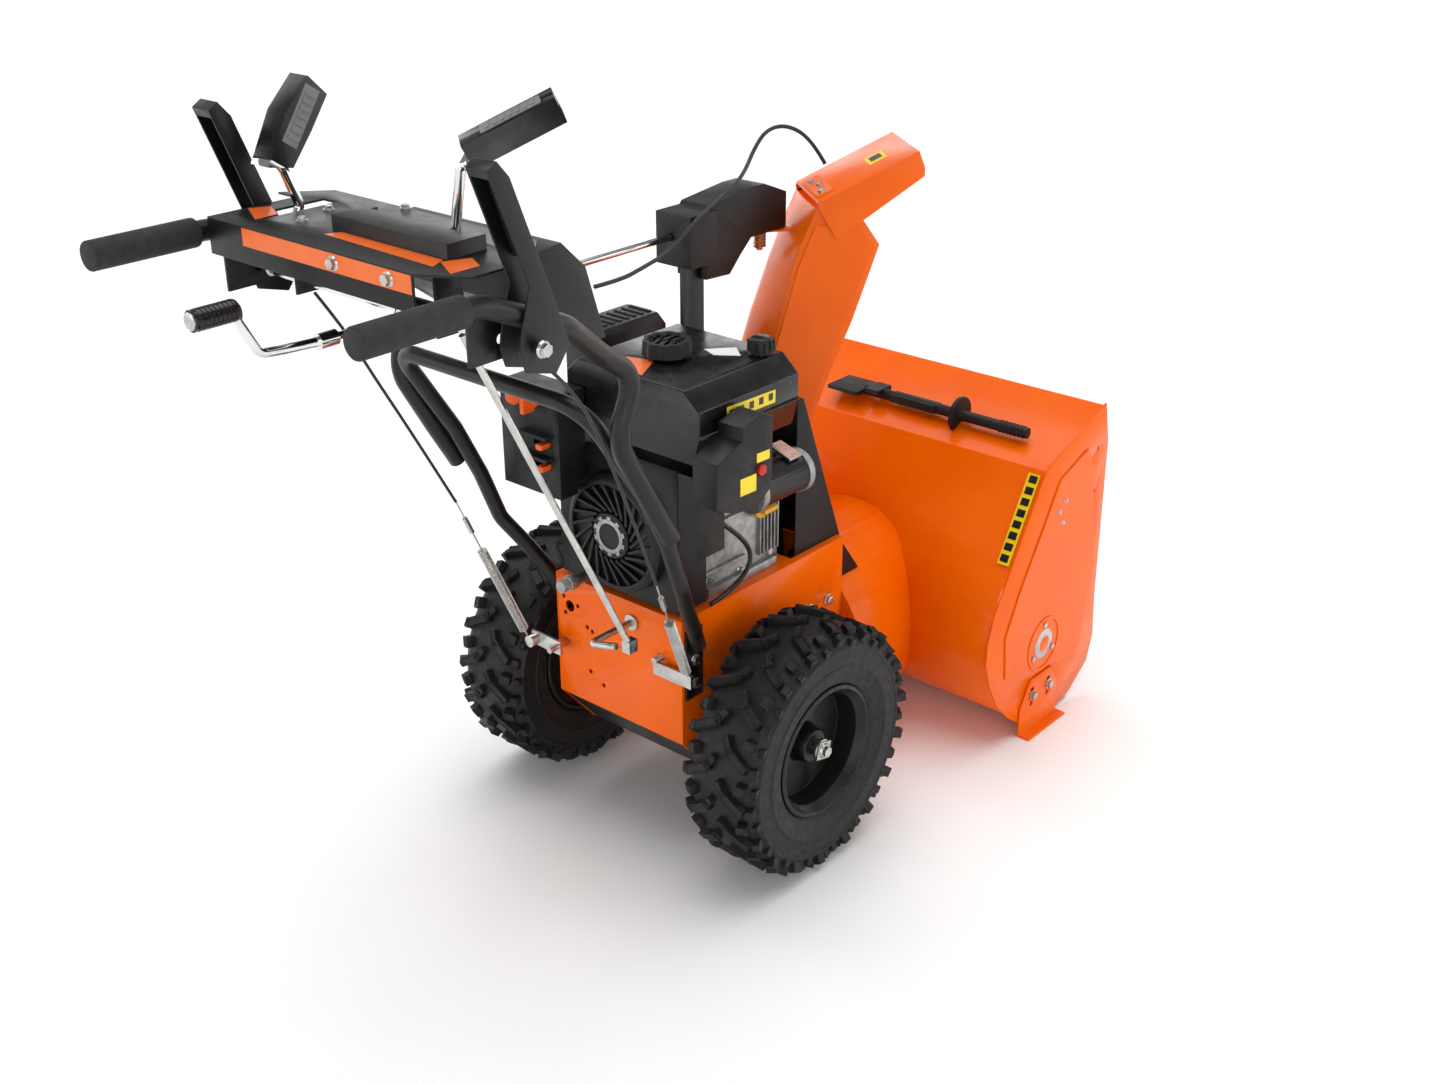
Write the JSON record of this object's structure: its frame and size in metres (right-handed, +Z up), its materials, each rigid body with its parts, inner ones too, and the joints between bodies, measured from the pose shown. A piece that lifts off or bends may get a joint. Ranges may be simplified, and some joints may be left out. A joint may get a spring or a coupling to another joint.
{
  "type": "snow blower",
  "caption": "Walk-behind two-stage snow blower: sheet-metal auger housing and turning chute, engine on a wheeled frame, handlebars with clutch levers and a control dash.",
  "frame": {"origin": "on the ground under the middle of the wheel axle, which is also the middle of the footprint", "axes": "+X forwards to the auger housing, +Y to the operator's left, +Z up"},
  "size_m": [1.4246, 0.67, 1.1482],
  "materials": {
    "orange_paint": "glossy powder coat",
    "black_paint": "semi-gloss powder coat",
    "black_plastic": "fine moulded texture",
    "gloss_black": "satin moulded",
    "orange_plastic": "moulded",
    "red_plastic": "moulded",
    "yellow_plastic": "moulded",
    "tyre_rubber": "moulded, matt",
    "belt_rubber": "matt",
    "grip_foam": "closed-cell foam",
    "cable_jacket": "extruded",
    "zinc_steel": "bright zinc plate",
    "chrome_steel": "polished",
    "cast_aluminium": "as cast",
    "cast_iron": "machined and cast"
  },
  "bodies": {
    "chassis": {"frame_box": "orange_paint", "belly_pan": "black_paint", "flange_bearings": "zinc_steel", "bucket_shell": "orange_paint", "side_plates": "orange_paint", "impeller_drum": "orange_paint", "scraper_bar": "zinc_steel", "skid_shoes": "orange_paint", "auger_gearbox": "cast_aluminium", "drive_belts": "belt_rubber", "belt_cover": "black_plastic", "engine_block": "cast_aluminium", "blower_shroud": "black_plastic", "recoil_cover": "black_plastic", "fuel_tank": "gloss_black", "muffler_guard": "black_paint", "control_panel": "black_plastic", "starter_box": "black_plastic", "starter_motor": "black_paint", "pedestal_post": "black_paint", "gear_head": "black_plastic", "deflector_cable": "cable_jacket", "lower_handle": "black_paint", "upper_handles": "black_paint", "handle_grips": "grip_foam", "dash_panel": "black_paint", "dash_bracket": "black_paint", "rod_housing": "black_paint", "clutch_cables": "cable_jacket", "clutch_springs": "zinc_steel", "hex_bolts": "zinc_steel"},
    "axle": {"drive_axle": "zinc_steel", "wheel_rims": "black_paint", "tyre_right": "tyre_rubber", "tyre_left": "tyre_rubber"},
    "hex_shaft": {"hex_shaft": "zinc_steel"},
    "friction_wheel": {"friction_wheel": "belt_rubber"},
    "traction_disc": {"traction_disc": "cast_aluminium"},
    "crank_pulley": {"crank_pulley": "cast_iron"},
    "impeller": {"impeller": "orange_paint"},
    "auger": {"auger": "orange_paint"},
    "auger_clutch_arm": {"auger_clutch_arm": "zinc_steel"},
    "traction_clutch_arm": {"traction_clutch_arm": "zinc_steel"},
    "clutch_lever_right": {"clutch_lever_right": "black_paint"},
    "clutch_lever_left": {"clutch_lever_left": "black_paint"},
    "shift_lever": {"shift_lever": "chrome_steel"},
    "shift_rod": {"shift_rod": "zinc_steel"},
    "shift_arm": {"shift_arm": "zinc_steel"},
    "chute": {"chute": "orange_paint"},
    "deflector_cap": {"deflector_cap": "orange_paint"},
    "deflector_lever": {"deflector_lever": "chrome_steel"},
    "chute_crank": {"chute_crank": "chrome_steel"},
    "fuel_cap": {"fuel_cap": "black_plastic"},
    "oil_dipstick": {"oil_dipstick": "yellow_plastic"},
    "primer_bulb": {"primer_bulb": "orange_plastic"},
    "ignition_key": {"ignition_key": "orange_plastic"},
    "choke_slider": {"choke_slider": "orange_plastic"},
    "throttle_slider": {"throttle_slider": "orange_plastic"},
    "start_button": {"start_button": "red_plastic"},
    "clean_out_tool": {"clean_out_tool": "black_plastic"}
  },
  "joints": [
    {"name": "wheel_spin", "type": "hinge", "parent": "chassis", "child": "axle", "pos_m": [0, 0, 0.1905], "axis": [0, 1, 0], "continuous": true},
    {"name": "hex_spin", "type": "hinge", "parent": "chassis", "child": "hex_shaft", "pos_m": [0.036, 0, 0.2505], "axis": [0, 1, 0], "continuous": true},
    {"name": "friction_shift", "type": "slide", "parent": "hex_shaft", "child": "friction_wheel", "axis": [0, 1, 0], "range_m": [-0.036, 0.036]},
    {"name": "disc_spin", "type": "hinge", "parent": "chassis", "child": "traction_disc", "pos_m": [0.1, 0, 0.2505], "axis": [1, 0, 0], "continuous": true},
    {"name": "crank_spin", "type": "hinge", "parent": "chassis", "child": "crank_pulley", "pos_m": [0.15, 0, 0.49], "axis": [1, 0, 0], "continuous": true},
    {"name": "impeller_spin", "type": "hinge", "parent": "chassis", "child": "impeller", "pos_m": [0.3, 0, 0.19], "axis": [1, 0, 0], "continuous": true},
    {"name": "auger_spin", "type": "hinge", "parent": "chassis", "child": "auger", "pos_m": [0.54, 0, 0.152], "axis": [0, 1, 0], "continuous": true},
    {"name": "clutch_right_press", "type": "hinge", "parent": "chassis", "child": "clutch_lever_right", "pos_m": [-0.488, -0.234, 0.908], "axis": [0, -1, 0], "range_deg": [0, 38], "stiffness_Nm_per_rad": 2, "springref_deg": -22.92, "deforming": ["clutch_springs"]},
    {"name": "clutch_left_press", "type": "hinge", "parent": "chassis", "child": "clutch_lever_left", "pos_m": [-0.488, 0.234, 0.908], "axis": [0, -1, 0], "range_deg": [0, 38], "stiffness_Nm_per_rad": 2, "springref_deg": -22.92},
    {"name": "auger_clutch_turn", "type": "hinge", "parent": "chassis", "child": "auger_clutch_arm", "pos_m": [0, -0.086, 0.327], "axis": [1, 0, 0], "range_deg": [-12, 0]},
    {"name": "traction_clutch_turn", "type": "hinge", "parent": "chassis", "child": "traction_clutch_arm", "pos_m": [-0.13, 0.104, 0.284], "axis": [1, 0, 0], "range_deg": [0, 12]},
    {"name": "shift_turn", "type": "hinge", "parent": "chassis", "child": "shift_lever", "pos_m": [-0.505, 0, 0.914], "axis": [0, 1, 0], "range_deg": [-14, 14]},
    {"name": "shift_rod_slide", "type": "slide", "parent": "chassis", "child": "shift_rod", "axis": [0, 0, 1], "range_m": [-0.019, 0.019]},
    {"name": "shift_arm_turn", "type": "hinge", "parent": "chassis", "child": "shift_arm", "pos_m": [-0.13, -0.029, 0.362], "axis": [1, 0, 0], "range_deg": [-15, 15]},
    {"name": "chute_turn", "type": "hinge", "parent": "chassis", "child": "chute", "pos_m": [0.305, 0.1, 0.39], "axis": [0, 0, 1], "range_deg": [-57, 133], "deforming": ["deflector_cable"]},
    {"name": "cap_tilt", "type": "hinge", "parent": "chute", "child": "deflector_cap", "pos_m": [0.36804, 0.05075, 0.864], "axis": [0.6157, 0.788, 0], "range_deg": [-5, 40]},
    {"name": "deflector_turn", "type": "hinge", "parent": "chassis", "child": "deflector_lever", "pos_m": [-0.448, -0.066, 0.905], "axis": [1, 0, 0], "range_deg": [-32.5, 4.5]},
    {"name": "crank_turn", "type": "hinge", "parent": "chassis", "child": "chute_crank", "pos_m": [0, 0.1, 0.844], "axis": [1, 0, 0], "range_deg": [-690, 1600]},
    {"name": "fuel_cap_turn", "type": "hinge", "parent": "chassis", "child": "fuel_cap", "pos_m": [-0.042, -0.025, 0.73], "axis": [0, 0, 1], "range_deg": [0, 90]},
    {"name": "dipstick_turn", "type": "hinge", "parent": "chassis", "child": "oil_dipstick", "pos_m": [0.06, -0.1, 0.5], "axis": [0, -1, 0], "range_deg": [0, 90]},
    {"name": "primer_press", "type": "slide", "parent": "chassis", "child": "primer_bulb", "axis": [1, 0, 0], "range_m": [0, 0.003], "stiffness_N_per_m": 600, "springref_m": -0.001},
    {"name": "key_turn", "type": "hinge", "parent": "chassis", "child": "ignition_key", "pos_m": [-0.18, 0.09, 0.679], "axis": [1, 0, 0], "range_deg": [0, 60]},
    {"name": "choke_slide", "type": "slide", "parent": "chassis", "child": "choke_slider", "axis": [0, 1, 0], "range_m": [0, 0.019]},
    {"name": "throttle_slide", "type": "slide", "parent": "chassis", "child": "throttle_slider", "axis": [0, 1, 0], "range_m": [0, 0.019]},
    {"name": "start_press", "type": "slide", "parent": "chassis", "child": "start_button", "axis": [0, 1, 0], "range_m": [0, 0.003], "stiffness_N_per_m": 600, "springref_m": -0.001},
    {"name": "tool_slide", "type": "slide", "parent": "chassis", "child": "clean_out_tool", "axis": [0, -1, 0], "range_m": [0, 0.12]}
  ],
  "couplings": [
    {"joint": "hex_spin", "follows": "wheel_spin", "ratio": -3.6667},
    {"joint": "auger_spin", "follows": "impeller_spin", "ratio": 0.1},
    {"joint": "auger_clutch_turn", "follows": "clutch_right_press", "ratio": -0.31},
    {"joint": "traction_clutch_turn", "follows": "clutch_left_press", "ratio": 0.31},
    {"joint": "shift_rod_slide", "follows": "shift_turn", "m_per_rad": -0.073},
    {"joint": "shift_arm_turn", "follows": "shift_turn", "ratio": 1.05},
    {"joint": "friction_shift", "follows": "shift_turn", "m_per_rad": 0.14},
    {"joint": "deflector_turn", "follows": "cap_tilt", "ratio": -0.8},
    {"joint": "crank_turn", "follows": "chute_turn", "ratio": 12}
  ]
}
